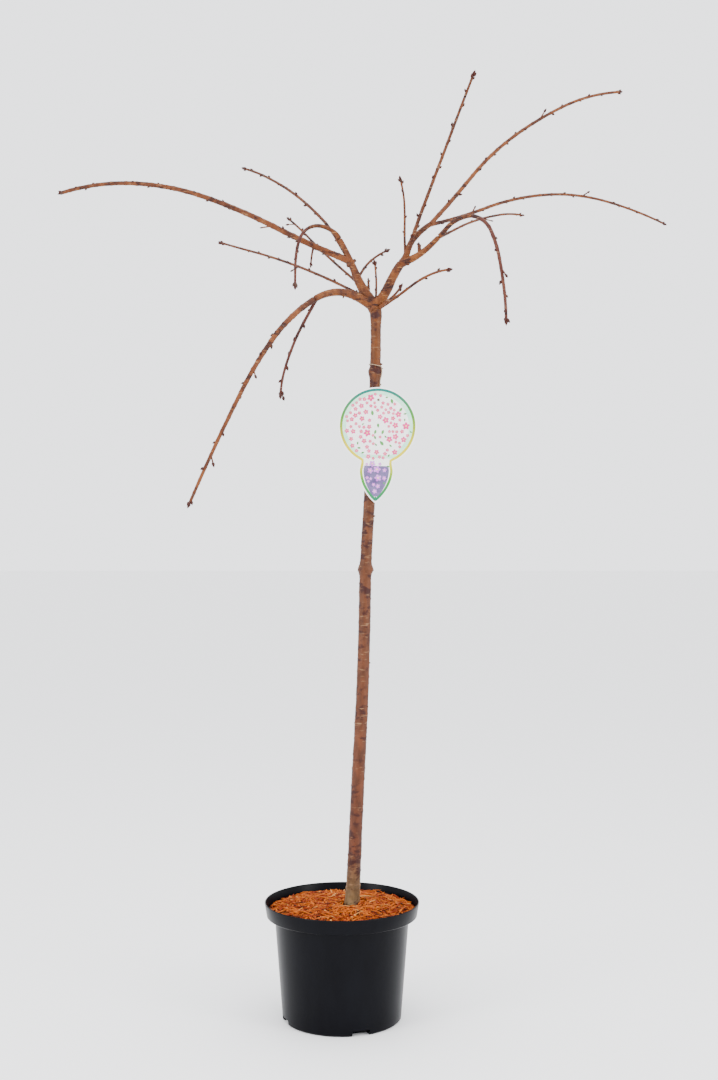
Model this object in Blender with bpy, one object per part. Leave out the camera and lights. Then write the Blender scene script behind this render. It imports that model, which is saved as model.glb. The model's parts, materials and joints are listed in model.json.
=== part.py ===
"""A young bare prunus, grafted high on a straight stem, in a round nursery pot.

Run with: blender --background --python part.py

The frame has +X to the right and +Y away from the viewer, with +Z up. Its origin is the centre of the pot's
underside. Every limb follows one rule: it leaves its parent at a share of the parent's length and runs for its
own length, while its heading in plan and its climb above the horizontal change evenly between the values listed
for it. Headings: 0 is right, 90 is away, 180 is left, 270 is towards the viewer. All sizes are in metres.
"""
import math
from random import Random

import bmesh
import bpy
import numpy as np
from mathutils import Matrix, Vector

# Clearances and fineness
GAP = 0.0003
TRUNK_SIDES = 12
BOUGH_SIDES = 10
STEM_SIDES = 6
TWIG_SIDES = 5
TRUNK_STEP = 0.021
BOUGH_STEP = 0.009
STEM_STEP = 0.020
TURN_SIDES = 48

# Pot: turned outline
RIM_RADIUS = 0.1133
RIM_HEIGHT = 0.171
BAND_HEIGHT = 0.021
BAND_RADIUS = 0.1102
SHOULDER_RADIUS = 0.0985
BASE_RADIUS = 0.0868
BASE_EDGE = 0.0025
WALL = 0.0017
FLOOR_TOP = 0.0105
CHANNEL_RISE = 0.0085
CHANNEL_INNER = 0.030
CHANNEL_OUTER = 0.070
NOTCH_COUNT = 4
NOTCH_FIRST_ANGLE = math.radians(-71)
NOTCH_WIDTH = 0.026
NOTCH_HEIGHT = 0.008
NOTCH_DEPTH = 0.030

# Potting mix with its bark mulch
MULCH_LEVEL = 0.1650
MULCH_EDGE_LEVEL = 0.1575
MULCH_FLAT_RADIUS = 0.045
MULCH_SLOPE_RADIUS = 0.085
MULCH_SLOPE_RISE = 0.0040

# Trunk
FOOT_X = 0.0150
FOOT_LEVEL = MULCH_LEVEL + GAP
FLARE = 0.0016
FLARE_HEIGHT = 0.016
# Height above the foot, extra radius and half length of each swelling: old knot, graft and fork
SWELLINGS = ((0.492, 0.0030, 0.0060), (0.782, 0.0026, 0.0065), (0.868, 0.0014, 0.0120))

# Buds
BUD_SIDES = 5
BUD_PITCH = 0.018
BUD_FIRST = 0.016
BUD_TURN = math.radians(144)
BUD_LEAN = (28, 44)
BUD_LENGTH = (0.0042, 0.0066)
BUD_SLENDERNESS = 0.21
BUD_WIDEST = 0.38
BUD_SEED = 100
TIP_BUD_GROWTH = 1.15
TIP_BUDS = 3
TIP_LEAN = (26, 40)
TIP_SETBACK = 0.0025
TIP_SPACING = 0.0012
SPUR_EVERY = 0.17
SPUR_LENGTH = (0.007, 0.013)
SPUR_RADIUS = 0.0011
TOUCH_MARGIN = 0.0016

# Label
LABEL_DISC_RADIUS = 0.0570
LABEL_X = 0.0522
LABEL_Z = 0.8662
LABEL_TILT = math.radians(1.8)
LABEL_THICKNESS = 0.0009
LABEL_BACK_Y = -0.0098
NECK_HALF_WIDTH = 0.0236
TONGUE_HALF_WIDTH = 0.0258
TONGUE_WIDEST = 0.2
TONGUE_REACH = 0.1125
LABEL_HOLE_RISE = 0.0385
LABEL_HOLE_RADIUS = 0.0019
LABEL_ARC_STEPS = 30
TONGUE_STEPS = 10

# Label tie
TIE_RADIUS = 0.0006
TIE_SIDES = 6
TIE_LEVEL = 0.957
TIE_DROP = 0.005
TIE_STEP = 0.0022
TIE_CLEARANCE = 0.0005
TIE_START = math.radians(-32)
TIE_TURN = math.radians(350)


class Limb:
    """The named sizes of one limb. A limb with buds is a mass of its own."""

    def __init__(self, name, parent, share, length, headings, climbs, radii, buds=True, bud_size=1.0):
        self.name = name
        self.parent = parent
        self.share = share
        self.length = length
        self.headings = headings
        self.climbs = climbs
        self.radii = radii
        self.buds = buds
        self.bud_size = bud_size


LIMBS = (
    Limb("trunk", None, 0, 0.883, (0,), (87, 87.6, 86.8, 87.9, 89.2, 86.4, 87.2, 88, 91),
         (0.0102, 0.0074), buds=False),

    # Boughs on the left
    Limb("left_bough", "trunk", 0.991, 0.118, (176, 168), (52, 60, 68, 66, 62), (0.0084, 0.0034), buds=False),
    Limb("left_bow", "left_bough", 1, 0.056, (168, 215), (62, 34, 18, -10, -34), (0.0034, 0.0026), buds=False),
    Limb("left_arch", "trunk", 0.992, 0.108, (200, 215), (30, 24, 5, -18, -32), (0.0066, 0.0045), buds=False),

    # Boughs on the right
    Limb("right_bough", "trunk", 0.997, 0.075, (0, -10), (40, 60, 66, 60, 52), (0.0070, 0.0060), buds=False),
    Limb("right_upper", "right_bough", 1, 0.072, (-10, 25), (52, 76, 52, 42, 34), (0.0050, 0.0036), buds=False),
    Limb("right_lower", "right_bough", 0.95, 0.070, (-18, -30), (20, 20, 32, 38, 40),
         (0.0050, 0.0036), buds=False),
    Limb("right_bow", "right_lower", 1, 0.062, (-30, -40), (40, 43, 22, 8, -10), (0.0036, 0.0029), buds=False),

    # Twigs on the left
    Limb("left_bow_whip", "left_bow", 1, 0.092, (215, 245), (-34, -66, -80, -88, -90),
         (0.0024, 0.0014), bud_size=1.2),
    Limb("left_long", "left_bough", 0.68, 0.470, (176, 168), (22, 28, 21, 5, -14),
         (0.0046, 0.0027), bud_size=0.9),
    Limb("left_top", "left_bough", 0.66, 0.246, (160, 150), (56, 60, 47, 41, 34, 28, 20), (0.0024, 0.0013)),
    Limb("left_back", "left_bough", 0.34, 0.190, (140, 138), (38, 38, 40, 42, 36), (0.0017, 0.0011)),
    Limb("left_low", "left_bough", 0.14, 0.292, (160, 140), (30, 26, 22, 18, 19), (0.0020, 0.0012)),
    Limb("left_arch_whip", "left_arch", 1, 0.369, (215, 228), (-32, -51, -59, -60, -61),
         (0.0044, 0.0017), bud_size=1.15),
    Limb("left_hanging", "left_arch", 0.94, 0.150, (170, 130), (-62, -58, -64, -67, -84),
         (0.0022, 0.0014), bud_size=1.2),
    Limb("left_pendant", "left_long", 0.125, 0.028, (150,), (-70, -80, -85), (0.0012, 0.0008), bud_size=0.8),

    # Short growth in the fork
    Limb("middle_spray", "left_bough", 0.44, 0.072, (50, 20), (52, 52, 42, 34, 26), (0.0018, 0.0011)),
    Limb("middle_upright", "trunk", 1, 0.060, (40, 150), (86, 84, 80), (0.0014, 0.0009)),
    Limb("snag", "left_bough", 0.14, 0.031, (100,), (75, 78), (0.0020, 0.0012), bud_size=0.7),

    # Twigs on the right
    Limb("right_thin", "right_upper", 0.10, 0.120, (140, 80, 100, 165), (88, 82, 80, 78, 76), (0.0016, 0.0010)),
    Limb("right_tall", "right_upper", 0.24, 0.262, (-45, -55), (64, 60, 58, 57, 54),
         (0.0029, 0.0014), bud_size=1.1),
    Limb("right_long", "right_upper", 1, 0.409, (25, 20), (46, 50, 37, 28, 9), (0.0033, 0.0016)),
    Limb("right_reach", "right_upper", 0.96, 0.493, (40, 25), (17, 23, 11, -6, -17),
         (0.0026, 0.0013), bud_size=0.9),
    Limb("right_bow_whip", "right_bow", 1, 0.177, (-40, -60), (-14, -63, -76, -80, -88),
         (0.0029, 0.0018), bud_size=1.25),
    Limb("right_low_thin", "right_lower", 0.95, 0.152, (30, 20), (27, 29, 20, 13, -4),
         (0.0016, 0.0010), bud_size=0.8),
    Limb("right_stub", "right_lower", 0.45, 0.015, (120,), (80, 80), (0.0026, 0.0022), bud_size=0.7),
    Limb("side_short", "trunk", 0.989, 0.064, (-55, -50), (22, 14, 21, 27, 46), (0.0018, 0.0012)),
    Limb("side_long", "trunk", 0.988, 0.132, (-35, -30), (22, 26, 30, 18, 0),
         (0.0020, 0.0012), bud_size=1.1),
)


def between(values, share):
    """The value at a share of the way along values that are spaced evenly."""
    return float(np.interp(share, np.linspace(0, 1, len(values)), values))


def direction(heading, climb):
    """The unit vector with this heading in plan and this climb, both in degrees."""
    turn = math.radians(heading)
    rise = math.radians(climb)
    return Vector((math.cos(turn) * math.cos(rise), math.sin(turn) * math.cos(rise), math.sin(rise)))


class Path:
    """A limb's centre line, as a fine chain of points, with its radius along it."""

    FINE = 120

    def __init__(self, limb, start):
        self.limb = limb
        self.points = [start]
        for i in range(self.FINE):
            share = (i + 0.5) / self.FINE
            step = direction(between(limb.headings, share), between(limb.climbs, share))
            self.points.append(self.points[-1] + step * (limb.length / self.FINE))

    def at(self, share):
        place = min(max(share, 0), 1) * self.FINE
        i = min(int(place), self.FINE - 1)
        return self.points[i].lerp(self.points[i + 1], place - i)

    def tangent(self, share):
        i = min(int(min(max(share, 0), 1) * self.FINE), self.FINE - 1)
        return (self.points[i + 1] - self.points[i]).normalized()

    def radius(self, share):
        radius = between(self.limb.radii, share)
        if self.limb.name == "trunk":
            height = share * self.limb.length
            radius += FLARE * math.exp(-height / FLARE_HEIGHT)
            for middle, extra, spread in SWELLINGS:
                radius += extra * math.exp(-((height - middle) / spread) ** 2)
        return radius


def grow():
    """The path of every limb, each started on its parent."""
    paths = {}
    for limb in LIMBS:
        if limb.parent is None:
            start = Vector((FOOT_X, 0, FOOT_LEVEL))
        elif limb.share == 1:
            start = paths[limb.parent].at(1) + paths[limb.parent].tangent(1) * GAP
        else:
            start = paths[limb.parent].at(limb.share)
        paths[limb.name] = Path(limb, start)
    return paths


def stations(limb):
    """The shares at which a limb gets a ring, closer together round the trunk's swellings."""
    step = TRUNK_STEP if limb.name == "trunk" else BOUGH_STEP if not limb.buds else STEM_STEP
    count = max(3, round(limb.length / step))
    shares = {i / count for i in range(count + 1)}
    if limb.name == "trunk":
        shares |= {height / limb.length for height in (0.004, 0.012)}
        for middle, _, spread in SWELLINGS[:2]:
            shares |= {(middle + k * spread / 2) / limb.length for k in (-3, -2, -1, 0, 1, 2, 3)}
    ordered = sorted(shares)
    kept = [ordered[0]]
    for share in ordered[1:-1]:
        if (share - kept[-1]) * limb.length > 0.002 and (1 - share) * limb.length > 0.002:
            kept.append(share)
    return kept + [ordered[-1]]


def new_object(name, mesh):
    obj = bpy.data.objects.new(name, mesh)
    bpy.context.scene.collection.objects.link(obj)
    return obj


def object_from(name, shape):
    """A named object from a bmesh, with its faces pointing out."""
    bmesh.ops.recalc_face_normals(shape, faces=shape.faces)
    mesh = bpy.data.meshes.new(name)
    shape.to_mesh(mesh)
    shape.free()
    return new_object(name, mesh)


def sweep(name, points, radii, sides, first=None, last=None):
    """A closed tube along points, with rings square to the line and one steady twist."""
    shape = bmesh.new()
    rings = []
    side = None
    for i, point in enumerate(points):
        ahead = points[min(i + 1, len(points) - 1)] - points[max(i - 1, 0)]
        if i == 0 and first is not None:
            ahead = first
        if i == len(points) - 1 and last is not None:
            ahead = last
        ahead = ahead.normalized()
        if side is None:
            side = ahead.orthogonal()
        side = (side - ahead * side.dot(ahead)).normalized()
        other = ahead.cross(side)
        ring = []
        for k in range(sides):
            turn = 2 * math.pi * k / sides
            ring.append(shape.verts.new(point + (side * math.cos(turn) + other * math.sin(turn)) * radii[i]))
        rings.append(ring)
    for low, high in zip(rings, rings[1:]):
        for k in range(sides):
            shape.faces.new((low[k], low[(k + 1) % sides], high[(k + 1) % sides], high[k]))
    shape.faces.new(rings[0][::-1])
    shape.faces.new(rings[-1])
    return object_from(name, shape)


def limb_sides(limb):
    if limb.name == "trunk":
        return TRUNK_SIDES
    if not limb.buds:
        return BOUGH_SIDES
    return STEM_SIDES if limb.radii[0] > 0.0025 else TWIG_SIDES


def limb_tube(paths, name, grown=0.0):
    """The tube of one limb. A grown tube stands off the limb's faces and ends by that much, for cutting."""
    path = paths[name]
    limb = path.limb
    sides = limb_sides(limb)
    shares = stations(limb)
    points = [path.at(share) for share in shares]
    radii = [path.radius(share) + grown / math.cos(math.pi / sides) for share in shares]
    first = None
    if limb.parent is None:
        first = Vector((0, 0, 1))
    elif limb.share == 1:
        first = paths[limb.parent].tangent(1)
    last = path.tangent(1)
    if grown:
        points[0] = points[0] - (first or path.tangent(0)) * grown
        points[-1] = points[-1] + last * grown
    return sweep(name + ("_clearance" if grown else ""), points, radii, sides, first, last)


def combine(obj, tools, operation):
    """Joins the tools to the object, or cuts them from it, by one Boolean on a collection, and removes them."""
    if not tools:
        return
    group = bpy.data.collections.new(obj.name + "_tools")
    bpy.context.scene.collection.children.link(group)
    for tool in tools:
        group.objects.link(tool)
    modifier = obj.modifiers.new("combine", "BOOLEAN")
    modifier.operation = operation
    modifier.operand_type = "COLLECTION"
    modifier.collection = group
    modifier.solver = "EXACT"
    view = bpy.context.evaluated_depsgraph_get()
    result = bpy.data.meshes.new_from_object(obj.evaluated_get(view))
    obj.modifiers.remove(modifier)
    obj.data = result
    for tool in tools:
        bpy.data.objects.remove(tool)
    bpy.data.collections.remove(group)


def tidy(obj):
    """Closes the tiny edges that a Boolean leaves, and drops any loose scrap beside the main body."""
    shape = bmesh.new()
    shape.from_mesh(obj.data)
    bmesh.ops.remove_doubles(shape, verts=shape.verts, dist=0.000004)
    bmesh.ops.dissolve_degenerate(shape, edges=shape.edges, dist=0.000002)
    left = set(shape.verts)
    bodies = []
    while left:
        body = {left.pop()}
        front = list(body)
        while front:
            for edge in front.pop().link_edges:
                for vert in edge.verts:
                    if vert not in body:
                        body.add(vert)
                        left.discard(vert)
                        front.append(vert)
        bodies.append(body)
    main = max(bodies, key=len)
    bmesh.ops.delete(shape, geom=[vert for vert in shape.verts if vert not in main], context="VERTS")
    shape.to_mesh(obj.data)
    shape.free()


def nearby(paths, name):
    """The limbs already made that the root of this limb comes close to, apart from one that it carries on from."""
    path = paths[name]
    limb = path.limb
    found = []
    for other in LIMBS:
        if other.name == name:
            break
        if other.name == limb.parent and limb.share == 1:
            continue
        line = paths[other.name]
        for i in range(0, Path.FINE // 2, 2):
            share = i / Path.FINE
            point = path.points[i]
            reach = path.radius(share) + 0.0015
            gaps = ((point - line.points[k]).length - line.radius(k / Path.FINE) for k in range(Path.FINE + 1))
            if min(gaps) < reach:
                found.append(other.name)
                break
    return found


def crowded(paths, name, point, reach):
    """Whether a ball round this point would touch a limb other than its own."""
    for other, line in paths.items():
        if other == name:
            continue
        for k in range(0, Path.FINE + 1, 3):
            if (point - line.points[k]).length < reach + line.radius(k / Path.FINE) + TOUCH_MARGIN:
                return True
    return False


def spindle(name, root, along, length, sunk):
    """A closed pointed bud, whose root is sunk in its stem by the given depth."""
    shape = bmesh.new()
    side = along.orthogonal().normalized()
    other = along.cross(side)
    foot = shape.verts.new(root)
    tip = shape.verts.new(root + along * (sunk + length))
    middle = root + along * (sunk + length * BUD_WIDEST)
    width = length * BUD_SLENDERNESS
    ring = []
    for k in range(BUD_SIDES):
        turn = 2 * math.pi * k / BUD_SIDES
        ring.append(shape.verts.new(middle + (side * math.cos(turn) + other * math.sin(turn)) * width))
    for k in range(BUD_SIDES):
        after = (k + 1) % BUD_SIDES
        shape.faces.new((foot, ring[after], ring[k]))
        shape.faces.new((tip, ring[k], ring[after]))
    return object_from(name, shape)


def bud_places(limb, path, chance):
    """Where the buds of a limb sit: share of its length, turn round it, lean and length, then whether on a spur."""
    places = []
    turn = chance.uniform(0, 2 * math.pi)
    distance = BUD_FIRST + chance.uniform(0, 0.008)
    to_spur = SPUR_EVERY * chance.uniform(0.3, 1.0)
    while distance < limb.length - 0.006:
        length = chance.uniform(*BUD_LENGTH) * limb.bud_size
        lean = math.radians(chance.uniform(*BUD_LEAN))
        on_spur = distance > to_spur
        if on_spur:
            to_spur += SPUR_EVERY * chance.uniform(0.7, 1.3)
        places.append((distance / limb.length, turn, lean, length, on_spur))
        turn += BUD_TURN + chance.uniform(-0.4, 0.4)
        distance += BUD_PITCH * chance.uniform(0.75, 1.3)
    return places


def buds_for(paths, name, seed):
    """The buds, spurs and tip cluster of one limb, by the seeded rule."""
    path = paths[name]
    limb = path.limb
    chance = Random(seed)
    made = []
    for share, turn, lean, length, on_spur in bud_places(limb, path, chance):
        ahead = path.tangent(share)
        side = ahead.orthogonal().normalized()
        outward = side * math.cos(turn) + ahead.cross(side) * math.sin(turn)
        along = (ahead * math.cos(lean) + outward * math.sin(lean)).normalized()
        root = path.at(share)
        sunk = path.radius(share) / math.sin(lean) * 0.75
        spur = chance.uniform(*SPUR_LENGTH) if on_spur else 0.0
        tip = root + along * (sunk + spur + length)
        if crowded(paths, name, tip, 0.001) or crowded(paths, name, root.lerp(tip, 0.6), 0.001):
            continue
        if spur:
            end = root + along * (sunk + spur)
            thick = min(SPUR_RADIUS, path.radius(share) * 0.7)
            made.append(sweep(f"{name}_spur", [root, root.lerp(end, 0.5), end], [thick, thick, thick * 0.9], 4))
            made.append(spindle(f"{name}_bud", end - along * 0.0015, along, length, 0.001))
            continue
        made.append(spindle(f"{name}_bud", root, along, length, sunk))
    ahead = path.tangent(1)
    side = ahead.orthogonal().normalized()
    around = chance.uniform(0, 2 * math.pi)
    length = BUD_LENGTH[1] * limb.bud_size * TIP_BUD_GROWTH
    made.append(spindle(f"{name}_tip", path.at(1) - ahead * 0.002, ahead, length, 0.0015))
    for k in range(TIP_BUDS):
        turn = around + k * 2 * math.pi / TIP_BUDS + chance.uniform(-0.3, 0.3)
        outward = side * math.cos(turn) + ahead.cross(side) * math.sin(turn)
        lean = math.radians(chance.uniform(*TIP_LEAN))
        along = (ahead * math.cos(lean) + outward * math.sin(lean)).normalized()
        root = path.at(1) - ahead * (TIP_SETBACK + TIP_SPACING * k)
        made.append(spindle(f"{name}_tip", root, along, length * chance.uniform(0.7, 0.9), path.radius(1) * 0.8))
    return made


def paint(obj, color, roughness):
    material = bpy.data.materials.new(obj.name)
    material.use_nodes = True
    shader = material.node_tree.nodes["Principled BSDF"]
    shader.inputs["Base Color"].default_value = (*color, 1)
    shader.inputs["Roughness"].default_value = roughness
    shader.inputs["Metallic"].default_value = 0
    obj.data.materials.clear()
    obj.data.materials.append(material)


def set_origin(obj, place):
    """Moves the object's origin to a place, and leaves its shape where it is."""
    obj.data.transform(Matrix.Translation(-place))
    obj.location = place


def shade(obj):
    obj.data.shade_smooth()
    obj.data.set_sharp_from_angle(angle=math.radians(40))


def turned(name, outline, sides):
    """A solid of revolution about Z from (radius, height) points that start and end on the axis."""
    shape = bmesh.new()
    rings = []
    for radius, height in outline:
        if radius == 0:
            rings.append([shape.verts.new((0, 0, height))])
            continue
        turns = [2 * math.pi * k / sides for k in range(sides)]
        rings.append([shape.verts.new((radius * math.cos(t), radius * math.sin(t), height)) for t in turns])
    for low, high in zip(rings, rings[1:]):
        for k in range(sides):
            after = (k + 1) % sides
            corners = [low[k % len(low)], low[after % len(low)], high[after % len(high)], high[k % len(high)]]
            shape.faces.new(list(dict.fromkeys(corners)))
    return object_from(name, shape)


def wall_radius(height):
    """The pot's outer radius below its band."""
    return BASE_RADIUS + (SHOULDER_RADIUS - BASE_RADIUS) * height / (RIM_HEIGHT - BAND_HEIGHT)


def make_pot():
    ledge = RIM_HEIGHT - BAND_HEIGHT
    outline = (
        (0, 0),
        (CHANNEL_INNER, 0),
        (CHANNEL_INNER + 0.002, CHANNEL_RISE),
        (CHANNEL_OUTER - 0.002, CHANNEL_RISE),
        (CHANNEL_OUTER, 0),
        (BASE_RADIUS - BASE_EDGE, 0),
        (wall_radius(BASE_EDGE), BASE_EDGE),
        (SHOULDER_RADIUS, ledge),
        (BAND_RADIUS - 0.001, ledge),
        (BAND_RADIUS, ledge + 0.001),
        (RIM_RADIUS, RIM_HEIGHT - 0.0012),
        (RIM_RADIUS - WALL / 2, RIM_HEIGHT),
        (RIM_RADIUS - WALL, RIM_HEIGHT - 0.0008),
        (BAND_RADIUS - WALL, ledge + WALL),
        (SHOULDER_RADIUS - WALL, ledge + WALL),
        (wall_radius(FLOOR_TOP) - WALL, FLOOR_TOP),
        (0, FLOOR_TOP),
    )
    pot = turned("pot", outline, TURN_SIDES)
    cutters = []
    for k in range(NOTCH_COUNT):
        shape = bmesh.new()
        bmesh.ops.create_cube(shape, size=1)
        bmesh.ops.scale(shape, vec=(NOTCH_DEPTH, NOTCH_WIDTH, NOTCH_HEIGHT + 0.002), verts=shape.verts)
        place = Vector((BASE_RADIUS, 0, (NOTCH_HEIGHT - 0.002) / 2))
        bmesh.ops.translate(shape, vec=place, verts=shape.verts)
        turn = NOTCH_FIRST_ANGLE + k * 2 * math.pi / NOTCH_COUNT
        bmesh.ops.rotate(shape, matrix=Matrix.Rotation(turn, 3, "Z"), verts=shape.verts)
        cutters.append(object_from("notch", shape))
    combine(pot, cutters, "DIFFERENCE")
    paint(pot, (0.012, 0.013, 0.018), 0.38)
    shade(pot)
    return pot


def make_mix():
    """The potting mix, which fills the pot up to a mulched top that is level round the trunk."""
    ledge = RIM_HEIGHT - BAND_HEIGHT + WALL + GAP
    slope = (RIM_RADIUS - BAND_RADIUS) / BAND_HEIGHT
    edge = BAND_RADIUS - WALL + slope * (MULCH_EDGE_LEVEL - ledge) - 2 * GAP
    outline = (
        (0, FLOOR_TOP + GAP),
        (wall_radius(FLOOR_TOP) - WALL - 2 * GAP, FLOOR_TOP + GAP),
        (SHOULDER_RADIUS - WALL - 2 * GAP, ledge),
        (BAND_RADIUS - WALL - 2 * GAP, ledge),
        (edge, MULCH_EDGE_LEVEL),
        (MULCH_SLOPE_RADIUS, MULCH_EDGE_LEVEL + MULCH_SLOPE_RISE),
        (MULCH_FLAT_RADIUS, MULCH_LEVEL),
        (0, MULCH_LEVEL),
    )
    mix = turned("potting_mix", outline, TURN_SIDES)
    paint(mix, (0.50, 0.11, 0.03), 0.9)
    shade(mix)
    return mix


def tongue_half_width(share):
    """Half the tongue's width at a share of its length: it widens a little below the neck, then rounds to a tip."""
    if share < TONGUE_WIDEST:
        return NECK_HALF_WIDTH + (TONGUE_HALF_WIDTH - NECK_HALF_WIDTH) * share / TONGUE_WIDEST
    past = (share - TONGUE_WIDEST) / (1 - TONGUE_WIDEST)
    return TONGUE_HALF_WIDTH * (1 - past ** 2) ** 0.9


def label_outline():
    """The label's edge about its disc's centre: a round disc that runs into a rounded tongue below."""
    join = math.asin(NECK_HALF_WIDTH / LABEL_DISC_RADIUS)
    neck = LABEL_DISC_RADIUS * math.cos(join)
    points = []
    for i in range(LABEL_ARC_STEPS + 1):
        turn = -math.pi / 2 + join + (2 * math.pi - 2 * join) * i / LABEL_ARC_STEPS
        points.append((LABEL_DISC_RADIUS * math.cos(turn), LABEL_DISC_RADIUS * math.sin(turn)))
    left = []
    for i in range(1, TONGUE_STEPS):
        share = i / TONGUE_STEPS
        left.append((-tongue_half_width(share), -neck - (TONGUE_REACH - neck) * share))
    return points + left + [(0, -TONGUE_REACH)] + [(-x, z) for x, z in reversed(left)]


def make_label():
    shape = bmesh.new()
    edge = [shape.verts.new((x, 0, z)) for x, z in label_outline()]
    face = shape.faces.new(edge)
    pushed = bmesh.ops.extrude_face_region(shape, geom=[face])
    moved = [item for item in pushed["geom"] if isinstance(item, bmesh.types.BMVert)]
    bmesh.ops.translate(shape, vec=(0, -LABEL_THICKNESS, 0), verts=moved)
    label = object_from("label", shape)
    hole = bmesh.new()
    bmesh.ops.create_cone(hole, cap_ends=True, segments=12, radius1=LABEL_HOLE_RADIUS,
                          radius2=LABEL_HOLE_RADIUS, depth=0.01)
    bmesh.ops.rotate(hole, matrix=Matrix.Rotation(math.pi / 2, 3, "X"), verts=hole.verts)
    bmesh.ops.translate(hole, vec=(0, 0, LABEL_HOLE_RISE), verts=hole.verts)
    combine(label, [object_from("label_hole", hole)], "DIFFERENCE")
    label.location = (LABEL_X, LABEL_BACK_Y, LABEL_Z)
    label.rotation_euler = (0, LABEL_TILT, 0)
    paint(label, (0.80, 0.80, 0.80), 0.35)
    return label


def beside(trunk, height, turn):
    """A point that clears the trunk by the tie's clearance, at this height and this turn round the trunk."""
    share = (height - FOOT_LEVEL) / trunk.limb.length
    near = 0.003 / trunk.limb.length
    widest = max(trunk.radius(share + k * near) for k in (-1, 0, 1))
    reach = widest + TIE_RADIUS + TIE_CLEARANCE
    return trunk.at(share) + Vector((math.cos(turn), math.sin(turn), 0)) * reach


def make_tie(trunk):
    """The string that hangs the label: through its hole, up beside the stem and once round it at the graft."""
    hole = Vector((LABEL_X, LABEL_BACK_Y - LABEL_THICKNESS / 2, LABEL_Z))
    hole += Matrix.Rotation(LABEL_TILT, 3, "Y") @ Vector((0, 0, LABEL_HOLE_RISE))
    points = [
        hole + Vector((0, -0.0018, -0.0012)),
        hole + Vector((0, -0.0006, -0.0002)),
        hole + Vector((0.0002, 0.0012, 0.0004)),
    ]
    strand_steps = 7
    for i in range(1, strand_steps):
        height = hole.z + (TIE_LEVEL - hole.z) * i / strand_steps
        points.append(beside(trunk, height, TIE_START))
    round_steps = 26
    for i in range(round_steps + 1):
        share = i / round_steps
        turn = TIE_START - share * TIE_TURN
        height = TIE_LEVEL - TIE_DROP / 2 * math.cos(turn) - TIE_STEP * share
        points.append(beside(trunk, height, turn))
    tie = sweep("label_tie", points, [TIE_RADIUS] * len(points), TIE_SIDES)
    paint(tie, (0.80, 0.74, 0.62), 0.7)
    shade(tie)
    return tie


BARK = {
    "trunk": (0.27, 0.12, 0.06),
    "bough": (0.42, 0.17, 0.06),
    "twig": (0.20, 0.07, 0.05),
}


def make_limbs(paths):
    made = []
    for index, limb in enumerate(LIMBS):
        obj = limb_tube(paths, limb.name)
        if limb.buds:
            combine(obj, buds_for(paths, limb.name, BUD_SEED + index), "UNION")
        cutters = [limb_tube(paths, other, GAP) for other in nearby(paths, limb.name)]
        combine(obj, cutters, "DIFFERENCE")
        tidy(obj)
        kind = "twig" if limb.buds else "trunk" if limb.name == "trunk" else "bough"
        paint(obj, BARK[kind], 0.6)
        shade(obj)
        set_origin(obj, paths[limb.name].points[0].copy())
        made.append(obj)
    return made


def main():
    for obj in list(bpy.data.objects):
        bpy.data.objects.remove(obj)
    plant = new_object("plant", None)
    plant.empty_display_size = 0.05
    paths = grow()
    pieces = [make_pot(), make_mix(), make_label(), make_tie(paths["trunk"])]
    pieces += make_limbs(paths)
    for piece in pieces:
        piece.parent = plant


main()
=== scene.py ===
"""The looks of a young bare prunus in a nursery pot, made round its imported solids.

Sizes are in metres, and headings and climbs in degrees. The limbs and buds follow the same rule as the
solids: a limb leaves its parent at a share of the parent's length, and its heading in plan and its climb
change evenly between the values listed for it.
"""
import json
from collections import namedtuple
from math import asin, cos, degrees, exp, hypot, pi, radians, sin, sqrt, tau
from random import Random

import bmesh
import bpy
import numpy as np
from mathutils import Matrix, Vector, noise

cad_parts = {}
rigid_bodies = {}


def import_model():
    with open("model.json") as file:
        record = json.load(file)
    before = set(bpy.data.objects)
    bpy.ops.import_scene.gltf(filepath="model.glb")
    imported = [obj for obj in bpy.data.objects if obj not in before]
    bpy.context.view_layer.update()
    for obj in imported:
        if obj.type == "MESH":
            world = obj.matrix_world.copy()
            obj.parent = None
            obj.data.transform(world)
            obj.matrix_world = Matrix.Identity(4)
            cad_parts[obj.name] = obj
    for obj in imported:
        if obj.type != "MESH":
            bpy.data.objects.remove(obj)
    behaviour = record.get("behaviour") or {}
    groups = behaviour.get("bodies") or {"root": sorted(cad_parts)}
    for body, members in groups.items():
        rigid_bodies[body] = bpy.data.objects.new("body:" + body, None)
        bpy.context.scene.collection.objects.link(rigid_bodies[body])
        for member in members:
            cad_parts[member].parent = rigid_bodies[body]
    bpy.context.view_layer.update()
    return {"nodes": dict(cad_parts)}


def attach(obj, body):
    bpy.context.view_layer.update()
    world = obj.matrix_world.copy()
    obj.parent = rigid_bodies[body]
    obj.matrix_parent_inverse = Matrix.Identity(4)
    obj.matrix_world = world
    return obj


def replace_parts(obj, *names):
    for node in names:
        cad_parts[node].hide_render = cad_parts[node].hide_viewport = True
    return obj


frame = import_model()

# Camera: level, with its place from the photograph's scale, and its lens and sensor in millimetres
CAMERA_PLACE = (0.025, -2.07, 0.7)
CAMERA_LENS = 47.0
CAMERA_SENSOR = 36.0

# Room and floor
ROOM_COLOR = (0.96, 0.97, 1.0)
ROOM_STRENGTH = 2.6
FLOOR_REACH = 30
FLOOR_COLOR = (0.9, 0.9, 0.9)
FLOOR_ROUGHNESS = 0.6
FLOOR_GLOSS = 0.1

# Soft boxes: name, place, aim, width, height and power in watts
LIGHTS = (
    ("left_box", (-1.9, -1.5, 1.3), (0, 0, 0.7), 0.8, 1.8, 46),
    ("right_box", (1.9, -1.3, 1.2), (0, 0, 0.7), 0.7, 1.8, 38),
    ("top_box", (0.0, -0.2, 2.9), (0, 0, 0.3), 1.6, 1.6, 24),
)

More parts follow.
